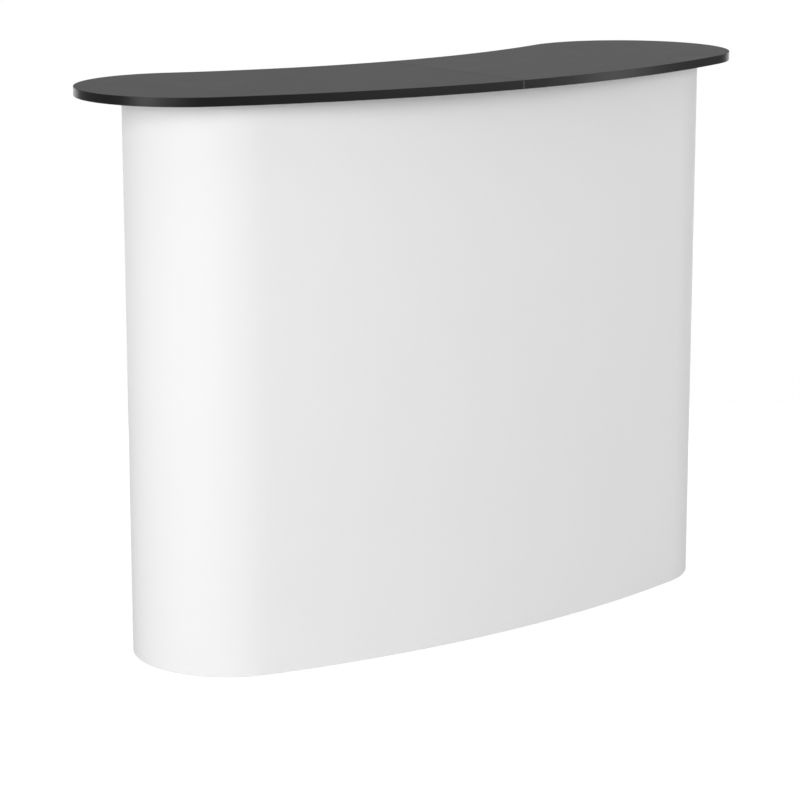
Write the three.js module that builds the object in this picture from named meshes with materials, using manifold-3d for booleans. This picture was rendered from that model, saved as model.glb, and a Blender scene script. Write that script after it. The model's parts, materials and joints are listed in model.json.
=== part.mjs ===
// A folding portable bar: a kidney-shaped countertop in two halves, a wrap of one bent panel,
// and a frame of three columns joined by scissor bars. Millimetres, +Z up, the front faces -Y.
// The origin is on the floor under the middle of the countertop.

import * as THREE from 'three';
import { mergeVertices } from 'three/addons/utils/BufferGeometryUtils.js';
import Module from 'manifold-3d';

const wasm = await Module();
wasm.setup();

// Driving dimensions: countertop
const barHeight = 945;
const topLength = 1300;
const topEndRadius = 185;
const topFrontBulge = 88;
const topWaistDip = 88;
const topThickness = 15;
const seamGap = 0.8;

// Driving dimensions: wrap
const wrapLength = 1140;
const wrapEndRadius = 166;
const wrapFrontBulge = 48;
const wrapForward = 10;
const wrapThickness = 2;
const wrapEndTurn = THREE.MathUtils.degToRad(35);
const wrapCornerRadius = 40;

// Driving dimensions: columns
const columnSpacing = 390;
const postSize = 25;
const postWall = 1.6;
const postCornerRadius = 3;
const footRadius = 18;
const footHeight = 10;
const plugLength = 30;
const headRailWidth = 30;
const headRailHeight = 22;
const pegRadius = 5;
const pegHeight = 8;
const pegSeat = 12;
const pegSpacing = 120;

// Driving dimensions: scissor bars, hubs and sliders
const lowerPinHeight = 70;
const upperPinDrop = 137;
const pinRadius = 4;
const barWidth = 18;
const barThickness = 7;
const crossRodRadius = 5;
const collarWall = 6;
const collarHeight = 44;
const tongueMargin = 1;

// Driving dimensions: shelf and wrap strips
const shelfHeight = 510;
const shelfLength = 800;
const shelfThickness = 12;
const shelfRailWidth = 20;
const shelfRailHeight = 25;
const stripThickness = 4;
const stripFloorGap = 20;
const stripArmHeight = 24;
const stripArmWidth = 20;
const lipLap = 22;

// Clearances
const fit = 0.3;
const barGap = 2.5;
const stripGap = 0.5;
const lipGap = 1.2;
const rearRowGap = 5;
const topGap = 0.5;
const pegTip = 1;

// Smoothness: the sides of a full circle, and the steps of an arc, which has two sides to a step
const circleSides = 16;
const arcSteps = circleSides / 2;
const tongueSteps = circleSides / 4;
const cornerSteps = 1;
const sweepSteps = 16;

// Materials
function finish(color, roughness, metalness) {
  return new THREE.MeshStandardMaterial({ color, roughness, metalness });
}
const blackLaminate = () => finish(0x2b2b2c, 0.45, 0);
const whitePanel = () => finish(0xf2f2f2, 0.55, 0);
const aluminium = () => finish(0xb9bcc0, 0.35, 1);
const blackPlastic = () => finish(0x1c1d1f, 0.5, 0);
const blackRubber = () => finish(0x141414, 0.8, 0);
const greyStrip = () => finish(0x3a3b3d, 0.6, 0);

// The countertop's plan: a bulging front arc, two round ends and a hollow back arc, all tangent
const topEndX = topLength / 2 - topEndRadius;
const topEndY = topFrontBulge / 2;
const topFrontRadius = topEndRadius + (topEndX ** 2 + topFrontBulge ** 2) / (2 * topFrontBulge);
const topFrontY = topEndY - topEndRadius - topFrontBulge + topFrontRadius;
const topWaistRadius = (topEndX ** 2 + topWaistDip ** 2) / (2 * topWaistDip) - topEndRadius;
const topWaistY = topEndY + topEndRadius - topWaistDip + topWaistRadius;
const topUnderside = barHeight - topThickness;

// The wrap's plan: the same kind of front and ends, then a tighter corner into a flat rear lip
const wrapEndX = wrapLength / 2 - wrapEndRadius;
const wrapEndY = topEndY - wrapForward;
const wrapFrontRadius = wrapEndRadius + (wrapEndX ** 2 + wrapFrontBulge ** 2) / (2 * wrapFrontBulge);
const wrapFrontY = wrapEndY - wrapEndRadius - wrapFrontBulge + wrapFrontRadius;
const wrapCornerX = wrapEndX + (wrapEndRadius - wrapCornerRadius) * Math.cos(wrapEndTurn);
const wrapCornerY = wrapEndY + (wrapEndRadius - wrapCornerRadius) * Math.sin(wrapEndTurn);
const wrapLipY = wrapCornerY + wrapCornerRadius;

// How far the wrap's inner face stands to the front at a place along the bar
function wrapInnerFront(x) {
  return wrapFrontY - Math.sqrt((wrapFrontRadius - wrapThickness) ** 2 - x ** 2);
}

// The front posts stand behind the strips that the wrap's front clings to. The rear posts stand just
// before its lip, which ends beside them, and their strips reach round behind it. So every strip faces
// the front, and the wrap comes off them forwards.
const collarHalf = postSize / 2 + fit + collarWall;
const stripWidth = 2 * collarHalf;
const frontRowY = wrapInnerFront(columnSpacing + collarHalf) + 2 * stripGap + stripThickness + collarHalf;
const rearRowY = wrapLipY - wrapThickness - rearRowGap - collarHalf;
const middleY = (frontRowY + rearRowY) / 2;
const wrapLipX = columnSpacing + collarHalf + lipGap;

// The posts' hollow, and heights up the columns
const postBore = postSize - 2 * postWall;
const boreCornerRadius = Math.max(postCornerRadius - postWall, fit);
const postBottom = footHeight + fit;
const headRailTop = topUnderside - fit;
const postTop = headRailTop - headRailHeight - fit;
const upperPinHeight = postTop - upperPinDrop;
const shelfRailTop = shelfHeight - fit;

// The pegs that stand in the centre head rail and locate the left half of the countertop
const pegX = -headRailWidth / 4;
const pegs = [
  { name: 'front_peg', y: middleY - pegSpacing / 2 },
  { name: 'rear_peg', y: middleY + pegSpacing / 2 },
];
const pegHoleRadius = pegRadius + fit;

// The scissor bars between two columns
const pinOffset = collarHalf + barGap + barWidth / 2;
const bayWidth = columnSpacing - 2 * pinOffset;
const bayHeight = upperPinHeight - lowerPinHeight;
const pinToPin = Math.hypot(bayWidth, bayHeight);
const barAngle = Math.atan2(bayHeight, bayWidth);
const crossingX = columnSpacing / 2;
const crossingZ = (lowerPinHeight + upperPinHeight) / 2;
const innerLayer = 1;
const outerLayer = -1;

const bar = new THREE.Group();

function addPart(name, geometry, material, parent = bar) {
  const mesh = new THREE.Mesh(geometry, material);
  mesh.name = name;
  parent.add(mesh);
  return mesh;
}

// Solids, joined and cut
function solidOf(geometry) {
  const bare = geometry.clone();
  bare.deleteAttribute('normal');
  bare.deleteAttribute('uv');
  const merged = mergeVertices(bare, 1e-4);
  return new wasm.Manifold(new wasm.Mesh({
    numProp: 3,
    vertProperties: new Float32Array(merged.attributes.position.array),
    triVerts: new Uint32Array(merged.index.array),
  }));
}

function geometryOf(solid) {
  const mesh = solid.getMesh();
  const geometry = new THREE.BufferGeometry();
  geometry.setAttribute('position', new THREE.BufferAttribute(mesh.vertProperties, mesh.numProp));
  geometry.setIndex(new THREE.BufferAttribute(mesh.triVerts, 1));
  return geometry;
}

function joined(geometries) {
  return geometryOf(geometries.map(solidOf).reduce((whole, piece) => whole.add(piece)));
}

function cut(geometry, holes) {
  return geometryOf(holes.map(solidOf).reduce((whole, hole) => whole.subtract(hole), solidOf(geometry)));
}

// Plain forms
function block(width, depth, height, x, y, z) {
  return new THREE.BoxGeometry(width, depth, height).translate(x, y, z);
}

function upright(radius, height, x, y, z) {
  const geometry = new THREE.CylinderGeometry(radius, radius, height, circleSides);
  return geometry.rotateX(Math.PI / 2).translate(x, y, z + height / 2);
}

function crosswise(radius, length, x, y, z) {
  return new THREE.CylinderGeometry(radius, radius, length, circleSides).translate(x, y, z);
}

function risen(shape, height, steps) {
  return new THREE.ExtrudeGeometry(shape, { depth: height, bevelEnabled: false, curveSegments: steps });
}

// An outline drawn in X and Z, made as deep as asked and centred on Y
function standing(shape, depth, steps) {
  return risen(shape, depth, steps).rotateX(Math.PI / 2).translate(0, depth / 2, 0);
}

function roundedSquare(size, radius, path) {
  const flat = size / 2 - radius;
  path.absarc(flat, flat, radius, 0, Math.PI / 2);
  path.absarc(-flat, flat, radius, Math.PI / 2, Math.PI);
  path.absarc(-flat, -flat, radius, Math.PI, 1.5 * Math.PI);
  path.absarc(flat, -flat, radius, 1.5 * Math.PI, 2 * Math.PI);
  return path;
}

// A smooth outline, without the doubled points where one arc runs into the next
function outlineOf(path, steps) {
  const least = 1e-3;
  const points = path.getPoints(steps);
  const kept = points.filter((point, i) => point.distanceTo(points[(i + 1) % points.length]) > least);
  return new THREE.Shape(kept);
}

function mirrored(shape) {
  return new THREE.Shape(shape.getPoints().map((point) => new THREE.Vector2(-point.x, point.y)).reverse());
}

// Countertop
function rightTopShape() {
  const seam = seamGap / 2;
  const frontTurn = Math.atan2(topEndY - topFrontY, topEndX);
  const backTurn = Math.atan2(topWaistY - topEndY, -topEndX);
  const path = new THREE.Path();
  path.absarc(0, topFrontY, topFrontRadius, Math.asin(seam / topFrontRadius) - Math.PI / 2, frontTurn);
  path.absarc(topEndX, topEndY, topEndRadius, frontTurn, backTurn);
  path.absarc(0, topWaistY, topWaistRadius, backTurn - Math.PI,
    Math.asin(seam / topWaistRadius) - Math.PI / 2, true);
  return outlineOf(path, sweepSteps);
}

// Cutters for blind holes of one depth where the pegs go, up and down from a face at this height
function pegHoles(depth, height) {
  return pegs.map(({ y }) => upright(pegHoleRadius, 2 * depth, pegX, y, height - depth));
}

const rightTopPlan = rightTopShape();
const leftTopBlank = risen(mirrored(rightTopPlan), topThickness, sweepSteps).translate(0, 0, topUnderside);
const leftTopHoles = pegHoles(pegHeight - fit + pegTip, topUnderside);
addPart('left_top', cut(leftTopBlank, leftTopHoles), blackLaminate());
addPart('right_top', risen(rightTopPlan, topThickness, sweepSteps), blackLaminate())
  .position.z = topUnderside;

// Wrap
function wrapSide(path, inset, clockwise) {
  const frontTurn = Math.atan2(wrapEndY - wrapFrontY, wrapEndX);
  const stretches = [
    [-wrapCornerX, wrapCornerY, wrapCornerRadius, Math.PI / 2, Math.PI - wrapEndTurn],
    [-wrapEndX, wrapEndY, wrapEndRadius, Math.PI - wrapEndTurn, Math.PI - frontTurn],
    [0, wrapFrontY, wrapFrontRadius, -Math.PI - frontTurn, frontTurn],
    [wrapEndX, wrapEndY, wrapEndRadius, frontTurn, wrapEndTurn],
    [wrapCornerX, wrapCornerY, wrapCornerRadius, wrapEndTurn, Math.PI / 2],
  ];
  const ordered = clockwise ? stretches.reverse() : stretches;
  for (const [x, y, radius, from, to] of ordered) {
    path.absarc(x, y, radius - inset, clockwise ? to : from, clockwise ? from : to, clockwise);
  }
}

function wrapShape() {
  const path = new THREE.Path();
  path.moveTo(-wrapLipX, wrapLipY);
  wrapSide(path, 0, false);
  path.lineTo(wrapLipX, wrapLipY);
  path.lineTo(wrapLipX, wrapLipY - wrapThickness);
  wrapSide(path, wrapThickness, true);
  path.lineTo(-wrapLipX, wrapLipY - wrapThickness);
  path.closePath();
  return outlineOf(path, sweepSteps);
}
addPart('wrap', risen(wrapShape(), topUnderside - topGap, sweepSteps), whitePanel());

// Columns
function postGeometry() {
  const shape = roundedSquare(postSize, postCornerRadius, new THREE.Shape());
  shape.holes.push(roundedSquare(postBore, boreCornerRadius, new THREE.Path()));
  return risen(shape, postTop - postBottom, cornerSteps);
}

// The plug that holds a foot or a head rail in the end of a post
function plugGeometry(y, z) {
  const shape = roundedSquare(postBore - 2 * fit, boreCornerRadius, new THREE.Shape());
  return risen(shape, plugLength, cornerSteps).translate(0, y, z);
}

function footGeometry() {
  return joined([upright(footRadius, footHeight, 0, 0, 0), plugGeometry(0, footHeight - fit)]);
}

function headRailGeometry() {
  const length = rearRowY - frontRowY + postSize;
  const pieces = [block(headRailWidth, length, headRailHeight, 0, middleY, headRailTop - headRailHeight / 2)];
  for (const y of [frontRowY, rearRowY]) {
    pieces.push(plugGeometry(y, headRailTop - headRailHeight + fit - plugLength));
  }
  return joined(pieces);
}

function shelfRailGeometry() {
  const length = rearRowY - frontRowY - postSize - 2 * fit;
  return block(shelfRailWidth, length, shelfRailHeight, 0, middleY, shelfRailTop - shelfRailHeight / 2);
}

// A collar round a post, with a tongue and a pin to each side named. The bar that the pin carries
// lies in one layer of the scissors, and the tongue fills the other.
function collarGeometry(sides, barLayer, inward) {
  const shape = roundedSquare(2 * collarHalf, postCornerRadius + collarWall, new THREE.Shape());
  shape.holes.push(roundedSquare(postSize + 2 * fit, postCornerRadius + fit, new THREE.Path()));
  const pieces = [risen(shape, collarHeight, cornerSteps).translate(0, 0, -collarHeight / 2)];
  const layerMiddle = (barThickness + fit) / 2;
  const tongueRadius = barWidth / 2 + tongueMargin;
  const tongueStart = collarHalf - collarWall / 2;
  for (const side of sides) {
    const tongue = new THREE.Shape();
    tongue.moveTo(tongueStart, -tongueRadius);
    tongue.absarc(pinOffset, 0, tongueRadius, -Math.PI / 2, Math.PI / 2);
    tongue.lineTo(tongueStart, tongueRadius);
    const turned = standing(tongue, barThickness, tongueSteps);
    if (side < 0) turned.rotateZ(Math.PI);
    pieces.push(turned.translate(0, -barLayer * inward * layerMiddle, 0));
    pieces.push(crosswise(pinRadius, 2 * barThickness + fit, side * pinOffset, 0, 0));
  }
  return joined(pieces);
}

// A strip as wide as a collar, on two arms that reach from its middle to a post's face. Below zero, the
// reach is to the front and the lap, which makes the strip wider on one side, is to the left.
function stripGeometry(armReach, lap) {
  const height = postTop - 2 * stripFloorGap;
  const width = stripWidth + Math.abs(lap);
  const armOffset = collarHeight + stripArmHeight;
  const pieces = [block(width, stripThickness, height, lap / 2, 0, stripFloorGap + height / 2)];
  for (const z of [lowerPinHeight + armOffset, upperPinHeight - armOffset]) {
    pieces.push(block(stripArmWidth, Math.abs(armReach), stripArmHeight, 0, armReach / 2, z));
  }
  return joined(pieces);
}

function addStrip(name, y, postY, lap, parent) {
  const toPost = postY - y;
  const armReach = toPost - Math.sign(toPost) * (postSize / 2 + fit);
  addPart(name, stripGeometry(armReach, lap), greyStrip(), parent).position.y = y;
}

const rows = [
  { name: 'front', y: frontRowY, inward: 1 },
  { name: 'rear', y: rearRowY, inward: -1 },
];
const columns = [
  { name: 'left', x: -columnSpacing, sides: [1] },
  { name: 'centre', x: 0, sides: [-1, 1] },
  { name: 'right', x: columnSpacing, sides: [-1] },
];

for (const { name, x, sides } of columns) {
  const column = new THREE.Group();
  column.position.x = x;
  bar.add(column);
  const central = x === 0;
  for (const row of rows) {
    const post = addPart(`${name}_${row.name}_post`, postGeometry(), aluminium(), column);
    post.position.set(0, row.y, postBottom);
    const foot = addPart(`${name}_${row.name}_foot`, footGeometry(), blackRubber(), column);
    foot.position.y = row.y;
    const hubBars = central ? innerLayer : outerLayer;
    const hubForm = collarGeometry(sides, hubBars, row.inward);
    const hub = addPart(`${name}_${row.name}_hub`, hubForm, blackPlastic(), column);
    hub.position.set(0, row.y, lowerPinHeight);
    const sliderForm = collarGeometry(sides, -hubBars, row.inward);
    const slider = addPart(`${name}_${row.name}_slider`, sliderForm, blackPlastic(), column);
    slider.position.set(0, row.y, upperPinHeight);
  }
  const railHoles = central ? pegHoles(pegSeat + fit, headRailTop) : [];
  addPart(`${name}_head_rail`, cut(headRailGeometry(), railHoles), blackPlastic(), column);
  addPart(`${name}_shelf_rail`, shelfRailGeometry(), aluminium(), column);
  const frontFace = wrapInnerFront(Math.abs(x) + stripWidth / 2) + stripGap;
  addStrip(`${name}_front_strip`, frontFace + stripThickness / 2, frontRowY, 0, column);
  if (!central) {
    const lap = Math.sign(x) * (lipGap + lipLap);
    addStrip(`${name}_rear_strip`, wrapLipY + stripGap + stripThickness / 2, rearRowY, lap, column);
  }
}

for (const { name, y } of pegs) {
  const peg = addPart(name, upright(pegRadius, pegSeat + pegHeight, 0, 0, 0), aluminium());
  peg.position.set(pegX, y, headRailTop - pegSeat);
}

// Scissor bars and the rods through their crossings
function scissorBarGeometry() {
  const shape = new THREE.Shape();
  const half = pinToPin / 2;
  shape.absarc(half, 0, barWidth / 2, -Math.PI / 2, Math.PI / 2);
  shape.absarc(-half, 0, barWidth / 2, Math.PI / 2, 1.5 * Math.PI);
  for (const [x, radius] of [[-half, pinRadius], [0, crossRodRadius], [half, pinRadius]]) {
    shape.holes.push(new THREE.Path().absarc(x, 0, radius + fit, 0, 2 * Math.PI));
  }
  return standing(shape, barThickness, arcSteps);
}

function addScissorBar(name, side, row, layer, slope) {
  const scissorBar = addPart(name, scissorBarGeometry(), aluminium());
  const layerMiddle = layer * row.inward * (barThickness + fit) / 2;
  scissorBar.position.set(side * crossingX, row.y + layerMiddle, crossingZ);
  scissorBar.rotation.y = -side * slope * barAngle;
}

for (const [name, side] of [['left', -1], ['right', 1]]) {
  for (const row of rows) {
    addScissorBar(`${name}_${row.name}_outward_bar`, side, row, innerLayer, 1);
    addScissorBar(`${name}_${row.name}_inward_bar`, side, row, outerLayer, -1);
  }
  const rodLength = rearRowY - frontRowY + 2 * barThickness + fit;
  addPart(`${name}_cross_rod`, crosswise(crossRodRadius, rodLength, 0, 0, 0), aluminium())
    .position.set(side * crossingX, middleY, crossingZ);
}

// Shelf, between the two rows of posts
const shelfDepth = rearRowY - frontRowY - postSize - 2 * fit;
addPart('shelf', block(shelfLength, shelfDepth, shelfThickness, 0, 0, shelfThickness / 2), blackLaminate())
  .position.set(0, middleY, shelfHeight);

export default bar;
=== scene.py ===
# %% [markdown]
# # A folding portable bar
# The bar is a kidney-shaped countertop in two halves on a folding aluminium frame, with one white panel
# wrapped round the front and both ends. The solids of the bar come ready-made, each on the body that it
# moves with. This lesson gives every one of them its real surface: it reads a solid's place, models a
# finer piece there by hand, and lets that piece ride where the solid was.

# %% Load the solids
import json
import math

import bmesh
import bpy
from mathutils import Matrix, Vector


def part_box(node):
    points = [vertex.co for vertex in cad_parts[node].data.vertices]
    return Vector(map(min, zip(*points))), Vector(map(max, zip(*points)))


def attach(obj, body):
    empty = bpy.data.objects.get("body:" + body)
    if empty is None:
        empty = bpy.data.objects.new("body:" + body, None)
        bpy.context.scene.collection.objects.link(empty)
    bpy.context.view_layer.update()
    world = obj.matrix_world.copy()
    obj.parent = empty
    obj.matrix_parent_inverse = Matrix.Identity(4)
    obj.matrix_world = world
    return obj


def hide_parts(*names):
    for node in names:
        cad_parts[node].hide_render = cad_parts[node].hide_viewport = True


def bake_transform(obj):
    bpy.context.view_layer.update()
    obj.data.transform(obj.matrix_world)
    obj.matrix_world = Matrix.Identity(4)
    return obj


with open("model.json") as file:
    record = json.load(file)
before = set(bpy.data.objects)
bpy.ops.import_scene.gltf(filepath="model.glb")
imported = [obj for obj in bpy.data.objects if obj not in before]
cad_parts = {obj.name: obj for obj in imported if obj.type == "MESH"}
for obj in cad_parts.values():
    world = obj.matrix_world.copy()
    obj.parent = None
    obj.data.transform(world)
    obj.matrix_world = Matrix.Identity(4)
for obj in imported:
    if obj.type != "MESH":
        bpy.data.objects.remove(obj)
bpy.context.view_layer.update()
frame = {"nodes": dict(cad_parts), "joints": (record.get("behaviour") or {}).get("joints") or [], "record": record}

record = frame["record"]
body_of = {node: body for body, members in record["behaviour"]["bodies"].items() for node in members}
pivot = {joint["name"]: Vector(joint["pos_m"]) for joint in frame["joints"] if joint["type"] == "hinge"}

# %% [markdown]
# ## The camera
# The picture was taken from the front left, from a little above the countertop, with a long lens. A long
# lens far away keeps the two ends of the bar nearly the same size, so the camera stands over four metres
# off instead of coming close with a wide lens.

# %% Camera
lens_mm = 126
sensor_mm = 36
camera_place = Vector((-2.913, -3.700, 1.432))
camera_pitch = 0.221
camera_yaw = 0.654

camera_turn = (math.pi / 2 - camera_pitch, 0, -camera_yaw)
bpy.ops.object.camera_add(location=camera_place, rotation=camera_turn)
camera = bpy.context.object
camera.data.lens = lens_mm
camera.data.sensor_width = sensor_mm
bpy.context.scene.camera = camera
print("camera stands", round(camera_place.length, 2), "m from the foot of the bar")

# %% [markdown]
# ## Shader sums
# A finish is a small sum of masks and colours. Wiring Math nodes one by one hides that sum, so one class
# wraps a socket and lets Python's own operators add the nodes. Everything that isn't plain arithmetic
# comes from one method that takes a node's kind, its settings and its sockets.

# %% A socket that can be added and multiplied
def feed(socket, value):
    """Links a shade to a socket, or sets a plain value on it."""
    if isinstance(value, Shade):
        socket.id_data.links.new(value.socket, socket)
    else:
        socket.default_value = value


class Shade:
    """One output of a node, which takes part in Python expressions."""

    def __init__(self, socket):
        self.socket = socket

    def sum_of(self, operation, first, second):
        node = self.socket.id_data.nodes.new("ShaderNodeMath")
        node.operation = operation
        feed(node.inputs[0], first)
        feed(node.inputs[1], second)
        return Shade(node.outputs[0])

    def __add__(self, other):
        return self.sum_of("ADD", self, other)

    def __radd__(self, other):
        return self.sum_of("ADD", other, self)

    def __sub__(self, other):
        return self.sum_of("SUBTRACT", self, other)

    def __rsub__(self, other):
        return self.sum_of("SUBTRACT", other, self)

    def __mul__(self, other):
        return self.sum_of("MULTIPLY", self, other)

    def __rmul__(self, other):
        return self.sum_of("MULTIPLY", other, self)


print("shades can be added, subtracted and multiplied")


# %% A tree that grows node by node
class Nodes:
    """A node tree, and the one method that adds nodes to it."""

    def __init__(self, tree):
        self.tree = tree

    def node(self, kind, settings=None, sockets=None, out=0):
        """Adds a node: its settings are set first, then its sockets, and one output comes back."""
        node = self.tree.nodes.new("ShaderNode" + kind)
        for name, value in (settings or {}).items():
            setattr(node, name, value)
        for name, value in (sockets or {}).items():
            feed(node.inputs[name], value)
        return Shade(node.outputs[out])


class Finish(Nodes):
    """A material under way: a Principled shader and the masks that feed it."""

    def __init__(self, name, constants=None):
        self.material = bpy.data.materials.new(name)
        self.material.use_nodes = True
        super().__init__(self.material.node_tree)
        self.shader = self.tree.nodes["Principled BSDF"]
        self.set(**(constants or {}))
        self.place = self.node("TexCoord", out="Object")

    def set(self, **inputs):
        """Feeds the shader's inputs; an underscore stands for a space in an input's name."""
        for name, value in inputs.items():
            feed(self.shader.inputs[name.replace("_", " ")], value)

    def along(self, vector, axis):
        """One coordinate of a vector."""
        return self.node("SeparateXYZ", sockets={0: vector}, out=axis)

    def stretched(self, vector, factors):
        """A vector with each coordinate multiplied, so that a pattern runs out long along the small ones."""
        return self.node("VectorMath", {"operation": "MULTIPLY"}, {0: vector, 1: factors})

    def noise(self, per_metre, detail=2, vector=None):
        """Soft noise from 0 to 1, with so many blotches to a metre."""
        sockets = {"Vector": vector or self.place, "Scale": per_metre, "Detail": detail}
        return self.node("TexNoise", sockets=sockets)

    def span(self, value, low, high, first=0.0, last=1.0):
        """A mask that goes smoothly from first to last while a value goes from low to high."""
        sockets = {"Value": value, "From Min": low, "From Max": high, "To Min": first, "To Max": last}
        return self.node("MapRange", {"interpolation_type": "SMOOTHSTEP"}, sockets)

    def mix(self, share, first, second):
        """A colour between two colours."""
        return self.node("Mix", {"data_type": "RGBA"}, {0: share, 6: first, 7: second}, out=2)

    def size_of(self, value):
        """A value without its sign."""
        return self.node("Math", {"operation": "ABSOLUTE"}, {0: value})

    def bump(self, height, depth, under=None):
        """A normal that rises and falls by a depth in metres, over another one where it is given."""
        sockets = {"Height": height, "Distance": depth}
        if under:
            sockets["Normal"] = under
        return self.node("Bump", sockets=sockets)

    def facing(self, axis):
        """How squarely the surface faces along an axis, either way, from 0 to 1."""
        return self.size_of(self.along(self.node("TexCoord", out="Normal"), axis))

    def arris(self):
        """A mask that picks out rounded edges: where the surface is between level and upright."""
        level = self.facing("Z")
        not_upright = self.span(level, low=0.08, high=0.5)
        not_level = self.span(level, low=0.8, high=0.98, first=1.0, last=0.0)
        return not_upright * not_level


def grey(level, warmth=0.0):
    """A colour that is nearly grey, a little warmer or, below zero, a little cooler."""
    return (level * (1 + warmth), level, level * (1 - warmth), 1)


print("finishes grow from a Principled shader")

# %% [markdown]
# ## The studio
# The bar stands on a plain white floor in a dim, even room. A floor lit until it is white would throw so
# much light back that the dark edges turned pale, so the floor is white only in the picture, and greyer in
# what it throws back. Wide lights model the bar: one overhead, a strong and a weak fill at the front left and
# right, and a faint one behind that gives the countertop its sheen. They are sun lamps with wide discs: like
# softboxes a long way off, they cast no hard shadow and don't fade along the bar. Three softboxes stand on
# the floor nearer by, because only a light that reaches down to the floor is mirrored by an upright surface
# seen from above. Two are the bright band down the wrap's left end and the glints on the countertop's edge.
# The third is at the back, below the countertop's plane, and shows the frame.

# %% Floor
floor_size = 60
floor_drop = 0.0001
floor_level = 0.90
floor_mottle = 0.02
thrown_back_level = 0.45
floor_glow_share = 0.68
floor_glow_level = 1.18

bpy.ops.object.select_all(action="DESELECT")
bpy.ops.mesh.primitive_plane_add(size=floor_size, location=(0, 0, -floor_drop))
floor = bpy.context.object
floor.name = "studio_floor"
floor_paint = Finish("floor paint", {"Specular_IOR_Level": 0.1, "Roughness": 0.9})
in_picture = floor_paint.node("LightPath", out="Is Camera Ray")
pale = floor_paint.mix(floor_paint.noise(per_metre=3), grey(floor_level), grey(floor_level + floor_mottle))
floor_paint.set(Base_Color=floor_paint.mix(in_picture, grey(thrown_back_level), pale))
glow = floor_paint.node("Emission", sockets={"Color": grey(1), "Strength": floor_glow_level})
painted = Shade(floor_paint.shader.outputs["BSDF"])
lit_floor = floor_paint.node("MixShader", sockets={0: in_picture * floor_glow_share, 1: painted, 2: glow})
feed(floor_paint.tree.nodes["Material Output"].inputs["Surface"], lit_floor)
floor.data.materials.append(floor_paint.material)
print("floor:", floor_size, "m square")

# %% Room
room_level = 0.14
backdrop_level = 1.0

world = bpy.data.worlds.new("studio_room")
world.use_nodes = True
bpy.context.scene.world = world
room = Nodes(world.node_tree)
seen = room.node("LightPath", out="Is Camera Ray")
lit = room.node("Background", sockets={"Color": grey(1), "Strength": room_level})
backdrop = room.node("Background", sockets={"Color": grey(1), "Strength": backdrop_level})
shown = room.node("MixShader", sockets={0: seen, 1: lit, 2: backdrop})
feed(world.node_tree.nodes["World Output"].inputs["Surface"], shown)
bpy.context.scene.view_settings.view_transform = "Standard"
print("room:", room_level, "of white, backdrop:", backdrop_level)

# %% Lights
softbox_clear = 0.05


def facing_bar(bearing_deg, height_deg):
    """How a light turns to the bar from a bearing, counted from the front to the left, and a height."""
    return (math.radians(90 - height_deg), 0, -math.radians(bearing_deg))


def wide_light(name, bearing_deg, height_deg, disc_deg, strength):
    """A soft light a long way off."""
    bpy.ops.object.light_add(type="SUN", rotation=facing_bar(bearing_deg, height_deg))
    light = bpy.context.object
    light.name = name
    light.data.angle = math.radians(disc_deg)
    light.data.energy = strength


def floor_softbox(name, bearing_deg, distance, width, height, power):
    """A softbox that stands on the floor, unseen by the camera."""
    bearing_rad = math.radians(bearing_deg)
    place = (-distance * math.sin(bearing_rad), -distance * math.cos(bearing_rad), softbox_clear + height / 2)
    bpy.ops.object.light_add(type="AREA", location=place, rotation=facing_bar(bearing_deg, 0))
    light = bpy.context.object
    light.name = name
    light.visible_camera = False
    light.data.shape = "RECTANGLE"
    light.data.size = width
    light.data.size_y = height
    light.data.energy = power


wide_light("overhead_light", bearing_deg=0, height_deg=90, disc_deg=50, strength=1.00)
wide_light("front_left_fill", bearing_deg=65, height_deg=8, disc_deg=50, strength=2.61)
wide_light("front_right_fill", bearing_deg=-30, height_deg=8, disc_deg=50, strength=1.30)
wide_light("back_light", bearing_deg=-142, height_deg=12, disc_deg=60, strength=0.33)
floor_softbox("left_softbox", bearing_deg=80, distance=2.9, width=1.0, height=1.5, power=12)
floor_softbox("right_softbox", bearing_deg=-57, distance=2.9, width=0.4, height=1.5, power=9)
floor_softbox("rear_softbox", bearing_deg=-150, distance=1.5, width=3.2, height=0.8, power=12)

# %% [markdown]
# ## Finish: black film and edge band
# The countertop and the shelf are boards covered in a black plastic film. Close to, the film has a fine
# pebbled grain, it is a little shinier where it has been rubbed, and its rounded edges are painted paler,
# a painted highlight where the arrises catch the light.
# The left half's film is painted a shade darker than the right's: painted shade for the step in tone
# between the two halves. The band glued round the countertop's edge is another plastic: blacker and
# shinier, with lines drawn along it, and painted pale beside the seam as a painted highlight where the
# seam's arrises catch the light. A flat black would look like a hole, so all of this is masks and bump.

# %% Black film
mottled_paler = 1.12
arris_highlight_level = 0.075
arris_highlight_share = 0.35


def black_film(name, level, roughness=0.46):
    film = Finish(name, {"Specular_IOR_Level": 0.4})
    mottle = film.noise(per_metre=7, detail=4)
    grain = film.noise(per_metre=1500, detail=3)
    rubbed = film.span(film.noise(per_metre=18, detail=6), low=0.5, high=0.75)
    shade = film.mix(mottle, grey(level), grey(level * mottled_paler))
    # The rounded edges are painted paler: a painted highlight where the arrises catch the light.
    film.set(Base_Color=film.mix(film.arris() * arris_highlight_share, shade, grey(arris_highlight_level)))
    film.set(Roughness=roughness + 0.04 * mottle - 0.02 * rubbed)
    film.set(Normal=film.bump(grain, depth=0.00006))
    return film.material


# The left half's film is painted a shade darker than the right's: painted shade for the step in tone between the
# halves.
left_film = black_film("left countertop film", level=0.029)
right_film = black_film("right countertop film", level=0.034)
# The fold film is painted far darker than the faces' film: painted shade down the groove of the seam.
shaded_fold_film = black_film("fold film in painted shade", level=0.006, roughness=0.7)
shelf_film = black_film("shelf film", level=0.029)
print("finishes:", left_film.name, right_film.name, shaded_fold_film.name, shelf_film.name, sep=", ")


# %% Edge band
seam_highlight_level = 0.12


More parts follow.
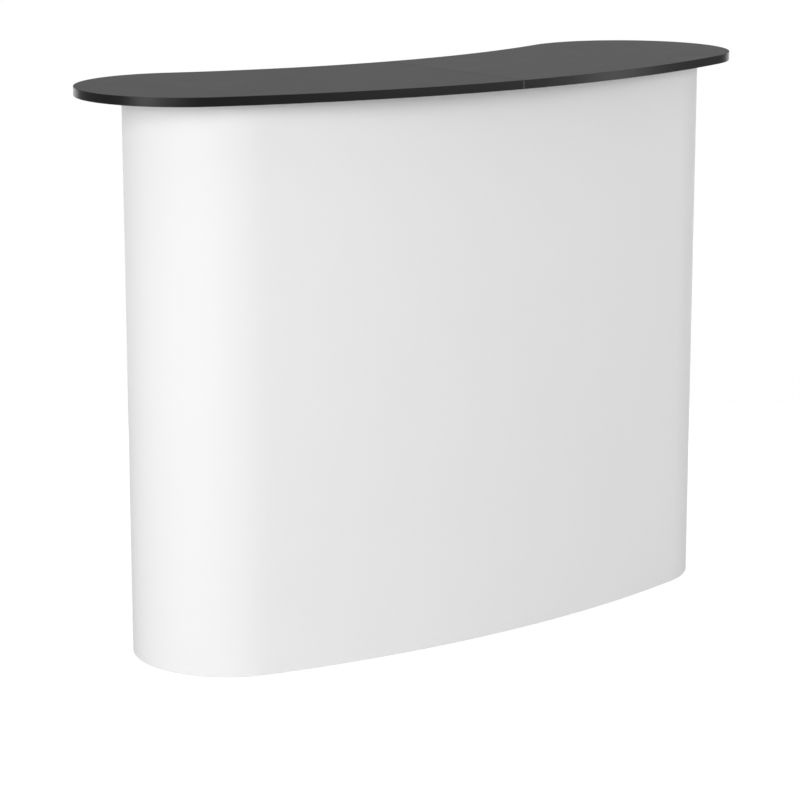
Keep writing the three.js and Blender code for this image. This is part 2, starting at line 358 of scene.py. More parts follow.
def edge_band():
    band = Finish("edge band", {"Specular_IOR_Level": 0.26})
    lines = band.noise(per_metre=1, detail=3, vector=band.stretched(band.place, (20, 20, 1800)))
    from_seam = band.size_of(band.along(band.place, "X"))
    # Beside the seam the band's front is painted pale: a painted highlight where the seam's arrises catch the
    # light.
    highlight_beside_seam = band.span(from_seam, low=0.0008, high=0.0016, first=1.0, last=0.0)
    facing_out = band.span(band.facing("Y"), low=0.2, high=0.5)
    black = band.mix(lines, grey(0.006), grey(0.009))
    band.set(Base_Color=band.mix(highlight_beside_seam * facing_out, black, grey(seam_highlight_level)))
    band.set(Roughness=0.28 + 0.08 * lines)
    band.set(Normal=band.bump(lines, depth=0.00001))
    return band.material


band = edge_band()
print("finish:", band.name)

# %% [markdown]
# ## Finish: white panel
# The wrap is a printed-on-demand panel, here left blank: a smooth white plastic sheet with a dull clear
# coat. Its back is a greyer backing that stops light. The sheet is nearly flat, so the only relief is a
# faint orange peel and a very slow wave, as in any sheet that has been rolled up for carrying.

# %% White panel
panel_mottle = 0.02


def panel_sheet(name, level):
    panel = Finish(name, {"Specular_IOR_Level": 0.25})
    cloud = panel.noise(per_metre=5, detail=3)
    peel = panel.noise(per_metre=420, detail=1)
    wave = panel.noise(per_metre=2.2, detail=1, vector=panel.stretched(panel.place, (1, 1, 0.35)))
    panel.set(Base_Color=panel.mix(cloud, grey(level), grey(level + panel_mottle)))
    panel.set(Roughness=0.56 + 0.06 * cloud)
    panel.set(Normal=panel.bump(peel, depth=0.00002, under=panel.bump(wave, depth=0.0006)))
    return panel.material


panel_face = panel_sheet("white panel face", level=0.85)
panel_back = panel_sheet("grey panel back", level=0.62)
print("finishes:", panel_face.name, "and", panel_back.name)

# %% [markdown]
# ## Finish: metals
# Posts and bars are drawn aluminium: fine lines run along the length of each piece, whichever way it
# points. Object coordinates can't follow a slanting bar, so every metal piece carries an attribute of its
# own, with its length first, and the lines are noise that is stretched along it. Rivets and screws are
# zinc-plated steel, a little darker and smudged.

# %% Metals
def drawn_aluminium():
    metal = Finish("drawn aluminium", {"Metallic": 1.0})
    grain = metal.node("Attribute", {"attribute_name": "grain"}, out="Vector")
    lines = metal.noise(per_metre=1, detail=3, vector=metal.stretched(grain, (6, 1800, 1800)))
    cloud = metal.noise(per_metre=14, detail=4)
    metal.set(Base_Color=metal.mix(lines, grey(0.52, warmth=-0.012), grey(0.64, warmth=-0.008)))
    metal.set(Roughness=0.28 + 0.10 * lines + 0.06 * cloud)
    metal.set(Normal=metal.bump(lines, depth=0.00003))
    return metal.material


def zinc_steel():
    metal = Finish("zinc steel", {"Metallic": 1.0})
    smudge = metal.noise(per_metre=260, detail=4)
    metal.set(Base_Color=metal.mix(smudge, grey(0.50), grey(0.62, warmth=0.01)))
    metal.set(Roughness=0.24 + 0.16 * smudge)
    return metal.material


aluminium = drawn_aluminium()
steel = zinc_steel()
print("finishes:", aluminium.name, "and", steel.name)

# %% [markdown]
# ## Finish: mouldings, rubber and strips
# Hubs, sliders and head rails are moulded in black nylon with a spark-eroded skin: a fine dry bump, paler
# where corners have been handled. The feet are softer and duller, with dust in the grain. The strips that
# hold the wrap are dark grey plastic with a brown magnet tape down the middle.

# %% Mouldings, rubber and strips
clouded_paler = 1.25


def moulding(name, level, worn_level, skin_depth, roughness):
    plastic = Finish(name, {"Specular_IOR_Level": 0.45})
    skin = plastic.noise(per_metre=2600, detail=2)
    cloud = plastic.noise(per_metre=30, detail=4)
    shade = plastic.mix(cloud, grey(level), grey(level * clouded_paler))
    plastic.set(Base_Color=plastic.mix(plastic.arris() * cloud, shade, grey(worn_level)))
    plastic.set(Roughness=roughness + 0.12 * cloud)
    plastic.set(Normal=plastic.bump(skin, depth=skin_depth))
    return plastic.material


def foot_rubber():
    rubber = Finish("foot rubber", {"Specular_IOR_Level": 0.3})
    dust = rubber.span(rubber.noise(per_metre=220, detail=5), low=0.45, high=0.8)
    near_floor = rubber.span(rubber.along(rubber.place, "Z"), low=0.0, high=0.008, first=1.0, last=0.25)
    rubber.set(Base_Color=rubber.mix(dust * near_floor, grey(0.018), grey(0.085, warmth=0.05)))
    rubber.set(Roughness=0.72 + 0.18 * dust)
    rubber.set(Normal=rubber.bump(dust, depth=0.00005))
    return rubber.material


def magnet_tape():
    tape = Finish("magnet tape", {"Specular_IOR_Level": 0.3})
    ridges = tape.noise(per_metre=1, detail=2, vector=tape.stretched(tape.place, (1400, 1400, 8)))
    tape.set(Base_Color=tape.mix(ridges, grey(0.020, warmth=0.10), grey(0.034, warmth=0.12)))
    tape.set(Roughness=0.55 + 0.2 * ridges)
    tape.set(Normal=tape.bump(ridges, depth=0.00004))
    return tape.material


black_nylon = moulding("black nylon", level=0.022, worn_level=0.060, skin_depth=0.00005, roughness=0.42)
strip_plastic = moulding("strip plastic", level=0.055, worn_level=0.100, skin_depth=0.00003, roughness=0.46)
rubber = foot_rubber()
tape = magnet_tape()
print("finishes:", black_nylon.name, strip_plastic.name, rubber.name, tape.name, sep=", ")

# %% [markdown]
# ## Tools for modelling by hand
# Operators act on whatever is selected, so each piece starts with everything else put away. A block is a
# cube set between two corners, and a cylinder is set about its middle. A round outline starts as a single
# point, which spinning and extruding carry on, just as a compass and a ruler would. A finished piece takes
# the place of its solid: it rides on the solid's body and the solid is hidden.

# %% Read a solid's place
def middle_of(node):
    """The middle of a solid's box."""
    low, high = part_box(node)
    return (low + high) / 2


def extent_of(node, axis):
    """A solid's size along the axis "x", "y" or "z"."""
    low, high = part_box(node)
    return getattr(high, axis) - getattr(low, axis)


print("countertop half:", [round(extent_of("right_top", axis), 3) for axis in "xyz"])

# %% Start a piece
speck = 0.0001
same_place = speck / 10
chord_error = 0.00002
cylinder_sides = 32


def put_all_away():
    if bpy.context.mode != "OBJECT":
        bpy.ops.object.mode_set(mode="OBJECT")
    bpy.ops.object.select_all(action="DESELECT")


def fix_place():
    bpy.ops.object.transform_apply(location=True, rotation=True, scale=True)


def take_up(piece):
    """Makes a piece the only one that operators act on."""
    put_all_away()
    piece.select_set(True)
    bpy.context.view_layer.objects.active = piece


def block(low, high):
    """A box between two corners."""
    put_all_away()
    middle = (Vector(low) + Vector(high)) / 2
    bpy.ops.mesh.primitive_cube_add(size=1, location=middle, scale=Vector(high) - Vector(low))
    fix_place()
    return bpy.context.object


def cylinder(radius, depth, middle, sides=cylinder_sides):
    """An upright cylinder about its middle."""
    put_all_away()
    bpy.ops.mesh.primitive_cylinder_add(vertices=sides, radius=radius, depth=depth, location=middle)
    fix_place()
    return bpy.context.object


def point(place):
    """A single point in edit mode, where an outline starts."""
    put_all_away()
    bpy.ops.mesh.primitive_plane_add(size=speck, location=place)
    fix_place()
    bpy.ops.object.mode_set(mode="EDIT")
    bpy.ops.mesh.select_mode(type="VERT")
    bpy.ops.mesh.merge(type="CENTER")
    return bpy.context.object


print("starts: block, cylinder and point")


# %% Draw an outline
def carry_to(start, *places):
    """Draws straight lines from the outline's end at start through places, and gives the last place."""
    for place in places:
        step = Vector(place) - Vector(start)
        bpy.ops.mesh.extrude_vertices_move(TRANSFORM_OT_translate={"value": step})
        start = place
    return start


def carry_round(centre, radius, angle):
    """Draws an arc from the outline's end, anticlockwise for a positive angle."""
    finest = 2 * math.acos(1 - chord_error / radius)
    steps = math.ceil(abs(angle) / finest)
    bpy.ops.mesh.spin(steps=steps, angle=angle, center=centre, axis=(0, 0, -1))


def all_outward():
    bpy.ops.mesh.select_all(action="SELECT")
    bpy.ops.mesh.remove_doubles(threshold=same_place)
    bpy.ops.mesh.normals_make_consistent(inside=False)
    bpy.ops.object.mode_set(mode="OBJECT")


def fill_and_raise(height):
    """Closes the outline, fills it and raises it into a solid."""
    bpy.ops.mesh.select_all(action="SELECT")
    bpy.ops.mesh.edge_face_add()
    bpy.ops.mesh.extrude_region_move(TRANSFORM_OT_translate={"value": (0, 0, height)})
    all_outward()


print("arcs stay within", chord_error, "m of true")

# %% Shape a piece
facing_front = Matrix.Rotation(math.pi / 2, 4, "X")
facing_back = Matrix.Rotation(-math.pi / 2, 4, "X")


def pick(kind, wanted):
    """Selects the faces or edges of the piece in edit mode that pass a test."""
    bpy.ops.mesh.select_mode(type=kind)
    bpy.ops.mesh.select_all(action="DESELECT")
    piece = bpy.context.object
    shape = bmesh.from_edit_mesh(piece.data)
    for part in shape.faces if kind == "FACE" else shape.edges:
        part.select_set(wanted(part))
    bmesh.update_edit_mesh(piece.data)


def use_modifier(piece, kind, **settings):
    """Adds a modifier, sets it and applies it at once."""
    take_up(piece)
    modifier = piece.modifiers.new(kind.lower(), kind)
    for name, value in settings.items():
        setattr(modifier, name, value)
    bpy.ops.object.modifier_apply(modifier=modifier.name)


def round_edges(piece, radius, steps=3, sharper_than=40):
    """Rounds every edge that is sharper than an angle in degrees."""
    limit = math.radians(sharper_than)
    use_modifier(piece, "BEVEL", width=radius, segments=steps, limit_method="ANGLE", angle_limit=limit)


def drill(piece, cutter):
    use_modifier(piece, "BOOLEAN", operation="DIFFERENCE", solver="EXACT", object=cutter)
    bpy.data.objects.remove(cutter)


def weld(piece, other):
    use_modifier(piece, "BOOLEAN", operation="UNION", solver="EXACT", object=other)
    bpy.data.objects.remove(other)


def joined(pieces):
    """Several pieces as one object, each still a closed shell of its own."""
    take_up(pieces[0])
    for other in pieces[1:]:
        other.select_set(True)
    bpy.ops.object.join()
    return pieces[0]


def copy_of(piece, matrix):
    """A copy with a mesh of its own, moved by a matrix."""
    twin = bpy.data.objects.new(piece.name, piece.data.copy())
    bpy.context.scene.collection.objects.link(twin)
    twin.data.transform(matrix)
    return twin


print("what is modelled facing up can be turned to the front or the back")

# %% Finish a piece
smooth_angle = math.radians(35)


def paint(piece, *materials):
    piece.data.materials.clear()
    for material in materials:
        piece.data.materials.append(material)


def mark_grain(piece, length_axis):
    """Keeps each point's place with the piece's length first, for a finish that runs along it."""
    order = {"X": (0, 1, 2), "Y": (1, 2, 0), "Z": (2, 0, 1)}[length_axis]
    grain = piece.data.attributes.new("grain", "FLOAT_VECTOR", "POINT")
    grain.data.foreach_set("vector", [corner.co[i] for corner in piece.data.vertices for i in order])


def smooth(piece):
    """Shades rounded edges smoothly, with the flats kept flat."""
    take_up(piece)
    bpy.ops.object.shade_smooth_by_angle(angle=smooth_angle)
    use_modifier(piece, "WEIGHTED_NORMAL", keep_sharp=True)


def add_to(body, piece, name):
    """Finishes a piece that has no solid of its own."""
    smooth(piece)
    piece.name = name
    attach(piece, body)


def stand_for(node, piece):
    """Finishes a piece that takes the place of a solid."""
    add_to(body_of[node], piece, "fine_" + node)
    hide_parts(node)


print("a finished piece rides on a body and has a slot")

# %% [markdown]
# ## The countertop
# Each half is a board under two centimetres thick. Its outline is one bulging front arc, a round end and a
# hollow back arc that run into each other, so a point is carried round three centres and the outline is
# filled and raised. The left half is the mirrored copy, drilled from below for the two pegs. The arrises
# are barely rounded, as on a board that is wrapped in film.

# %% Countertop outline
end_radius = 0.185

top_low, top_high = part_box("right_top")
board_thickness = top_high.z - top_low.z
end_x = top_high.x - end_radius
end_y = top_high.y - end_radius
front_bulge = top_high.y - top_low.y - 2 * end_radius
front_radius = end_radius + (end_x ** 2 + front_bulge ** 2) / (2 * front_bulge)
front_centre = Vector((0, top_low.y + front_radius, top_low.z))
top_corners = [corner.co for corner in frame["nodes"]["right_top"].data.vertices]
waist_y = max(corner.y for corner in top_corners if corner.x < 2 * top_low.x)
waist_dip = top_high.y - waist_y
waist_radius = (end_x ** 2 + waist_dip ** 2) / (2 * waist_dip) - end_radius
waist_centre = Vector((0, waist_y + waist_radius, top_low.z))
end_centre = Vector((end_x, end_y, top_low.z))


def bearing(centre, place):
    """The direction from a centre to a place, as an angle from +X."""
    return math.atan2(place.y - centre.y, place.x - centre.x)


seam_turn = math.asin(top_low.x / front_radius) - math.pi / 2
front_turn = bearing(front_centre, end_centre)
back_turn = bearing(end_centre, waist_centre)
waist_turn = math.asin(top_low.x / waist_radius) - math.pi / 2
seam_front = front_centre + front_radius * Vector((math.cos(seam_turn), math.sin(seam_turn), 0))
print("front arc:", round(front_radius, 3), "m; hollow back arc:", round(waist_radius, 3), "m")

# %% Right half, and the left half from it
pegs = ("front_peg", "rear_peg")
peg_clearance = 0.0003
peg_end_room = 0.001

right_board = point(seam_front)
carry_round(front_centre, front_radius, front_turn - seam_turn)
carry_round(end_centre, end_radius, back_turn - front_turn)
carry_round(waist_centre, waist_radius, waist_turn - (back_turn - math.pi))
fill_and_raise(board_thickness)

left_board = copy_of(right_board, Matrix.Scale(-1, 4, (1, 0, 0)))
take_up(left_board)
bpy.ops.object.mode_set(mode="EDIT")
all_outward()
for node in pegs:
    hole_radius = extent_of(node, "x") / 2 + peg_clearance
    hole_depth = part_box(node)[1].z + peg_end_room - top_low.z
    hole_mouth = middle_of(node)
    hole_mouth.z = top_low.z
    drill(left_board, cylinder(hole_radius, 2 * hole_depth, hole_mouth))
print("boards:", round(board_thickness, 3), "m thick, with", len(pegs), "holes in the left one")

# %% Film on the faces and band round the edge
board_arris = 0.0006
board_arris_steps = 3
upright_slope = 0.05

for node, board, film in (("left_top", left_board, left_film), ("right_top", right_board, right_film)):
    round_edges(board, board_arris, board_arris_steps)
    paint(board, film, band)
    take_up(board)
    bpy.ops.object.mode_set(mode="EDIT")
    pick("FACE", lambda face: abs(face.normal.z) < upright_slope)
    board.active_material_index = 1
    bpy.ops.object.material_slot_assign()
    stand_for(node, board)
    print(board.name, [round(size, 3) for size in board.dimensions])

# %% [markdown]
# ## The fold in the film
# The film runs on over the seam from one half to the other, and is the hinge. It lies in the bottom of the
# groove between the two arrises, painted far darker than the film on the faces as painted shade in the groove,
# so the seam shows as a thin dark line and not as an open slit.
# When the top folds, the strip has to turn with it; here it is only cut into columns across its width.

# %% Hinge film
film_thickness = 0.0002
film_sink = 0.0006
film_end_margin = 0.0012
film_columns = 8

film_half = top_low.x + board_arris
film_low = Vector((-film_half, top_low.y + film_end_margin, top_high.z - film_sink - film_thickness))
film_high = Vector((film_half, waist_y - film_end_margin, top_high.z - film_sink))
hinge_film = block(film_low, film_high)
bpy.ops.object.mode_set(mode="EDIT")
for column in range(1, film_columns):
    bpy.ops.mesh.select_all(action="SELECT")
    cut_x = film_low.x + (film_high.x - film_low.x) * column / film_columns
    bpy.ops.mesh.bisect(plane_co=(cut_x, 0, 0), plane_no=(1, 0, 0))
put_all_away()
paint(hinge_film, shaded_fold_film)
smooth(hinge_film)
hinge_film.name = "hinge_film"
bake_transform(hinge_film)
print("hinge film:", round(2 * film_half, 4), "m wide")

# %% [markdown]
# ## The wrap
# The wrap is one sheet: a bulging front, two round ends, and a tighter corner at each end into a flat lip
# beside the rear posts. Its plan is drawn as one open line of arcs, raised to the height of the sheet and
# given its thickness by Solidify, which paints the inner side with the greyer backing.

# %% Wrap outline
wrap_end_radius = 0.166
wrap_corner_radius = 0.040
wrap_end_turn = math.radians(35)
wrap_thickness = 0.002

wrap_low, wrap_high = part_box("wrap")
wrap_corners = [corner.co for corner in frame["nodes"]["wrap"].data.vertices]
lip_x = min(abs(corner.x) for corner in wrap_corners if corner.y > wrap_high.y - wrap_thickness / 2)
wrap_end_x = wrap_high.x - wrap_end_radius
past_end = wrap_end_radius - wrap_corner_radius
wrap_end_y = wrap_high.y - wrap_corner_radius - past_end * math.sin(wrap_end_turn)
wrap_bulge = wrap_end_y - wrap_end_radius - wrap_low.y
wrap_front_radius = wrap_end_radius + (wrap_end_x ** 2 + wrap_bulge ** 2) / (2 * wrap_bulge)
wrap_front = Vector((0, wrap_low.y + wrap_front_radius, wrap_low.z))
wrap_left = Vector((-wrap_end_x, wrap_end_y, wrap_low.z))
wrap_right = Vector((wrap_end_x, wrap_end_y, wrap_low.z))
corner_step = past_end * Vector((math.cos(wrap_end_turn), math.sin(wrap_end_turn), 0))
right_corner = wrap_right + corner_step
left_corner = Vector((-right_corner.x, right_corner.y, wrap_low.z))
wrap_turn = bearing(wrap_front, wrap_right)
front_sweep = math.pi + 2 * wrap_turn
print("wrap's front arc:", round(wrap_front_radius, 3), "m")

# %% Bend the sheet and give it its thickness
sheet_arris = 0.0006

sheet = point((-lip_x, wrap_high.y, wrap_low.z))
carry_to((-lip_x, wrap_high.y, 0), (left_corner.x, wrap_high.y, 0))
carry_round(left_corner, wrap_corner_radius, math.pi / 2 - wrap_end_turn)
carry_round(wrap_left, wrap_end_radius, wrap_end_turn - wrap_turn)
carry_round(wrap_front, wrap_front_radius, front_sweep)
carry_round(wrap_right, wrap_end_radius, wrap_end_turn - wrap_turn)
carry_round(right_corner, wrap_corner_radius, math.pi / 2 - wrap_end_turn)
carry_to((right_corner.x, wrap_high.y, 0), (lip_x, wrap_high.y, 0))
bpy.ops.mesh.select_all(action="SELECT")
bpy.ops.mesh.extrude_edges_move(TRANSFORM_OT_translate={"value": (0, 0, wrap_high.z - wrap_low.z)})
all_outward()
paint(sheet, panel_face, panel_back)
outward = sum(face.normal.y * face.center.y for face in sheet.data.polygons) > 0
use_modifier(sheet, "SOLIDIFY", thickness=wrap_thickness, offset=-1 if outward else 1, material_offset=1)
round_edges(sheet, sheet_arris, steps=2, sharper_than=60)
stand_for("wrap", sheet)
print("wrap:", [round(size, 3) for size in sheet.dimensions], "normals outward:", outward)

# %% [markdown]
# ## Posts, feet and rails
# Each post is a square tube, so a block gets its upright edges rounded, its ends inset by the wall, and the
# two inner faces bridged into a bore. Rubber feet and pegs are turned shapes: a profile is drawn from the
# axis outwards and spun right round. The rails across each pair of posts are plain sections with soft edges.

# %% Posts
columns = ("left", "centre", "right")
rows = ("front", "rear")
post_wall = 0.0016
post_corner = 0.003
post_corner_steps = 5
tube_arris = 0.0004
steep = 10
nearly_level = 0.9


def is_upright(edge):
    first, second = (corner.co for corner in edge.verts)
    return abs(first.z - second.z) > steep * (abs(first.x - second.x) + abs(first.y - second.y))


def is_level(face):
    return abs(face.normal.z) > nearly_level


def round_uprights(radius, steps):
    """Rounds the upright edges of the piece in edit mode."""
    pick("EDGE", is_upright)
    bpy.ops.mesh.bevel(offset=radius, segments=steps, affect="EDGES")


def square_tube(low, high, corner, wall):
    """An upright tube with rounded corners, open at both ends."""
    tube = block(low, high)
    bpy.ops.object.mode_set(mode="EDIT")
    round_uprights(corner, post_corner_steps)
    pick("FACE", is_level)
    bpy.ops.mesh.inset(thickness=wall)
    bpy.ops.mesh.bridge_edge_loops()
    all_outward()
    return tube


for column in columns:
    for row in rows:
        node = f"{column}_{row}_post"
        post = square_tube(*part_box(node), post_corner, post_wall)
        round_edges(post, tube_arris, steps=2, sharper_than=60)
        mark_grain(post, "Z")
        paint(post, aluminium)
        stand_for(node, post)
print("posts:", len(columns) * len(rows))

# %% Turn a profile
lathe_steps = 48


def turned(profile):
    """A round solid about the Z axis, from (radius, height) places that start and end on the axis."""
    places = [(radius, 0, height) for radius, height in profile]
    solid = point(places[0])
    carry_to(*places)
    bpy.ops.mesh.select_all(action="SELECT")
    bpy.ops.mesh.spin(steps=lathe_steps, angle=2 * math.pi, center=(0, 0, 0), axis=(0, 0, 1))
    all_outward()
    return solid


def standing_at(node):
    """The move from the origin to the middle of a solid's underside."""
    place = middle_of(node)
    place.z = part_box(node)[0].z
    return Matrix.Translation(place)


print("a full turn has", lathe_steps, "steps")

# %% Feet
foot_height = 0.010
foot_chamfer = 0.0018
groove_height = 0.0048
groove_half = 0.0006
groove_depth = 0.0009
shoulder_drop = 0.0030
neck_step = 0.0032
neck_drop = 0.0006
foot_arris = 0.0003

foot_radius = extent_of("centre_front_foot", "x") / 2
foot_profile = ((0, 0), (foot_radius - foot_chamfer, 0), (foot_radius, foot_chamfer),
                (foot_radius, groove_height - groove_half), (foot_radius - groove_depth, groove_height),
                (foot_radius, groove_height + groove_half), (foot_radius, foot_height - shoulder_drop),
                (foot_radius - foot_chamfer, foot_height - neck_drop), (foot_radius - neck_step, foot_height),
                (0, foot_height))
first_foot = turned(foot_profile)
round_edges(first_foot, foot_arris, steps=2, sharper_than=25)
paint(first_foot, rubber)
for column in columns:
    for row in rows:
        node = f"{column}_{row}_foot"
        stand_for(node, copy_of(first_foot, standing_at(node)))
bpy.data.objects.remove(first_foot)
print("feet:", len(columns) * len(rows))

# %% Pegs
peg_chamfer = 0.0016
peg_arris = 0.0004

for node in pegs:
    radius = extent_of(node, "x") / 2
    length = extent_of(node, "z")
    peg = turned(((0, 0), (radius, 0), (radius, length - peg_chamfer),
                  (radius - peg_chamfer, length), (0, length)))
    peg.data.transform(standing_at(node))
    round_edges(peg, peg_arris, steps=2, sharper_than=25)
    mark_grain(peg, "Z")
    paint(peg, aluminium)
    stand_for(node, peg)
print("pegs:", len(pegs))

# %% Head rails and shelf rails
rail_arris = 0.0015
end_cap_margin = 0.004
end_cap_sink = 0.0008
dead_square = 0.999


def is_end(face):
    return abs(face.normal.y) > dead_square


for column in columns:
    node = f"{column}_head_rail"
    rail_low, rail_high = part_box(node)
    rail_low.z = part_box(f"{column}_rear_post")[1].z
    head_rail = block(rail_low, rail_high)
    bpy.ops.object.mode_set(mode="EDIT")
    pick("FACE", is_end)
    bpy.ops.mesh.inset(thickness=end_cap_margin)
    bpy.ops.mesh.inset(thickness=end_cap_sink, depth=-end_cap_sink)
    all_outward()
    round_edges(head_rail, rail_arris, steps=3, sharper_than=60)
    paint(head_rail, black_nylon)
    stand_for(node, head_rail)

    node = f"{column}_shelf_rail"
    shelf_rail = block(*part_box(node))
    round_edges(shelf_rail, rail_arris, steps=3)
    mark_grain(shelf_rail, "Y")
    paint(shelf_rail, aluminium)
    stand_for(node, shelf_rail)
print("rails:", 2 * len(columns))

# %% [markdown]
# ## Hubs and sliders
# A hub is fixed low on each post, and a slider runs on the post above it. Both are one moulding: a collar
# round the post with a lug at each side where a scissor bar pivots. The collar is a tube like the post's,
# its free faces have a sunk panel, and each lug is a half-round outline that is stood up and welded on.

# %% Where the pins are
bar_thickness = extent_of("left_front_outward_bar", "y")
hub_z = pivot["frame_fold"].z
slider_z = pivot["left_slider_pivot"].z
pin_reach = abs(pivot["frame_fold"].x)
row_y = {row: middle_of(f"centre_{row}_post").y for row in rows}
column_x = {column: middle_of(f"{column}_front_post").x for column in columns}
lug_sides = {"left": (1,), "centre": (-1, 1), "right": (-1,)}
print("pins at", round(hub_z, 3), "and", round(slider_z, 3), "m,", round(pin_reach, 4), "m beside the posts")


# %% One lug
def lug(length, radius, thickness):
    """A flat lug that runs out along +X from the middle of a post to half round a pin."""
    start = Vector((0, -radius, 0))
    shape = point(start)
    carry_to(start, Vector((length, -radius, 0)))
    carry_round((length, 0, 0), radius, math.pi)
    carry_to((length, radius, 0), (0, radius, 0))
    fill_and_raise(thickness)
    shape.data.transform(facing_front @ Matrix.Translation((0, 0, -thickness / 2)))
    return shape


print("lugs run out along +X and are turned to their side")

# %% Collars with lugs
collar_wall = 0.006
collar_corner = 0.005
collar_corner_steps = 6
panel_margin = 0.004
panel_sink = 0.0009
moulded_arris = 0.0007


def collar(node, column, row, lug_layer):
    """One moulding, with its lugs in the layer that its bars leave free."""
    low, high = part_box(node)
    centre = Vector((column_x[column], row_y[row], (low.z + high.z) / 2))
    half = (high.y - low.y) / 2
    side = Vector((half, half, (high.z - low.z) / 2))
    shape = block(centre - side, centre + side)
    bpy.ops.object.mode_set(mode="EDIT")
    round_uprights(collar_corner, collar_corner_steps)
    pick("FACE", is_end)
    bpy.ops.mesh.inset(thickness=panel_margin)
    bpy.ops.mesh.inset(thickness=panel_sink, depth=-panel_sink)
    all_outward()
    lug_radius = max(abs(low.x - centre.x), abs(high.x - centre.x)) - pin_reach
    for lug_side in lug_sides[column]:
        turn = Matrix.Rotation(0 if lug_side > 0 else math.pi, 4, "Z")
        arm = lug(pin_reach, lug_radius, bar_thickness)
        place = Matrix.Translation(centre + Vector((0, lug_layer - row_y[row], 0)))
        arm.data.transform(place @ turn)
        weld(shape, arm)
    bore = Vector((half - collar_wall, half - collar_wall, 2 * side.z))
    drill(shape, block(centre - bore, centre + bore))
    round_edges(shape, moulded_arris, steps=2, sharper_than=50)
    paint(shape, black_nylon)
    stand_for(node, shape)


for column in columns:
    for row in rows:
        inner_layer = middle_of(f"left_{row}_outward_bar").y
        outer_layer = middle_of(f"left_{row}_inward_bar").y
        central = column == "centre"
        collar(f"{column}_{row}_hub", column, row, outer_layer if central else inner_layer)
        collar(f"{column}_{row}_slider", column, row, inner_layer if central else outer_layer)
print("collars:", 2 * len(columns) * len(rows))

# %% [markdown]
# ## Scissor bars and rods
# The eight scissor bars are alike: a flat bar with round ends and three holes. One is modelled lying flat,
# with its grain marked along it, and each copy is stood up, tilted to its slope and moved to its layer. A
# rod runs through both crossings of each wing.

# %% One scissor bar
bar_arris = 0.0006
pin_radius = 0.004
hole_play = 0.0003

rod_radius = extent_of("left_cross_rod", "x") / 2
slope = pivot["left_slider_pivot"] - pivot["frame_fold"]
bar_half = slope.length / 2
bar_angle = math.atan2(slope.z, -slope.x)
bar_end_radius = (extent_of("left_front_outward_bar", "x") - abs(slope.x)) / 2

first_bar = point((bar_half, -bar_end_radius, -bar_thickness / 2))
carry_round((bar_half, 0, -bar_thickness / 2), bar_end_radius, math.pi)
carry_to((bar_half, bar_end_radius, 0), (-bar_half, bar_end_radius, 0))
carry_round((-bar_half, 0, -bar_thickness / 2), bar_end_radius, math.pi)
fill_and_raise(bar_thickness)
for hole_x, radius in ((-bar_half, pin_radius), (0, rod_radius), (bar_half, pin_radius)):
    drill(first_bar, cylinder(radius + hole_play, 2 * bar_thickness, (hole_x, 0, 0)))
round_edges(first_bar, bar_arris, steps=2, sharper_than=50)
mark_grain(first_bar, "X")
paint(first_bar, aluminium)
print("scissor bar:", round(2 * bar_half, 3), "m from pin to pin")

# %% All scissor bars
wings = {"left": -1, "right": 1}
leans = {"outward": 1, "inward": -1}

for wing, wing_side in wings.items():
    for row in rows:
        for bar, lean in leans.items():
            node = f"{wing}_{row}_{bar}_bar"
            tilt = Matrix.Rotation(-wing_side * lean * bar_angle, 4, "Y")
            stand_for(node, copy_of(first_bar, Matrix.Translation(middle_of(node)) @ tilt @ facing_front))
bpy.data.objects.remove(first_bar)
print("scissor bars:", len(wings) * len(rows) * len(leans))

# %% Cross rods
rod_chamfer = 0.0008

for wing in wings:
    node = f"{wing}_cross_rod"
    length = extent_of(node, "y")
    rod = turned(((0, 0), (rod_radius - rod_chamfer, 0), (rod_radius, rod_chamfer),
                  (rod_radius, length - rod_chamfer), (rod_radius - rod_chamfer, length), (0, length)))
    front_end = middle_of(node)
    front_end.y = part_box(node)[0].y
    rod.data.transform(Matrix.Translation(front_end) @ facing_back)
    mark_grain(rod, "Y")
    paint(rod, aluminium)
    stand_for(node, rod)
print("cross rods:", len(wings))

# %% [markdown]
# ## Rivets and screws
# Every pivot at a lug is a pin with a washer and a domed head at both ends, and a cross rod has the same
# heads for caps. Each hub is held on its post by two socket screws. They are small, but they are what the
# eye looks for at a joint. One rivet and one screw are modelled, and copies for each body are joined into
# one piece that rides on it.

# %% One rivet
rivet_radius = 0.0062
rivet_height = 0.0026
rivet_dome = 0.85 * rivet_height
rivet_dome_steps = 5
washer_radius = 0.0082
washer_height = 0.0008
washer_arris = washer_height / 3

washer = turned(((0, 0), (washer_radius, 0), (washer_radius, washer_height), (0, washer_height)))
round_edges(washer, washer_arris, steps=2, sharper_than=60)
rivet_head = cylinder(rivet_radius, rivet_height, (0, 0, washer_height + rivet_height / 2))
bpy.ops.object.mode_set(mode="EDIT")
rivet_top = washer_height + rivet_height
pick("EDGE", lambda edge: all(corner.co.z > rivet_top - speck for corner in edge.verts))
bpy.ops.mesh.bevel(offset=rivet_dome, segments=rivet_dome_steps, affect="EDGES")
all_outward()
rivet = joined([washer, rivet_head])
paint(rivet, steel)
print("rivet:", len(rivet.data.polygons), "faces")

# %% One screw
screw_radius = 0.0045
screw_height = 0.0021
screw_arris = 0.0004
socket_sides = 6
socket_radius = 0.0024
socket_depth = 0.0014

screw = cylinder(screw_radius, screw_height, (0, 0, screw_height / 2))
drill(screw, cylinder(socket_radius, 2 * socket_depth, (0, 0, screw_height), sides=socket_sides))
round_edges(screw, screw_arris, steps=2, sharper_than=50)
paint(screw, steel)
print("screw:", len(screw.data.polygons), "faces")

# %% Rivets at every pivot
layer_gap = 0.0003
pin_end = bar_thickness + layer_gap / 2


def fasten(body, name, fastener, places):
    """Copies of a fastener at places, joined into one piece on a body."""
    copies = [copy_of(fastener, place) for place in places]
    add_to(body, joined(copies), name)


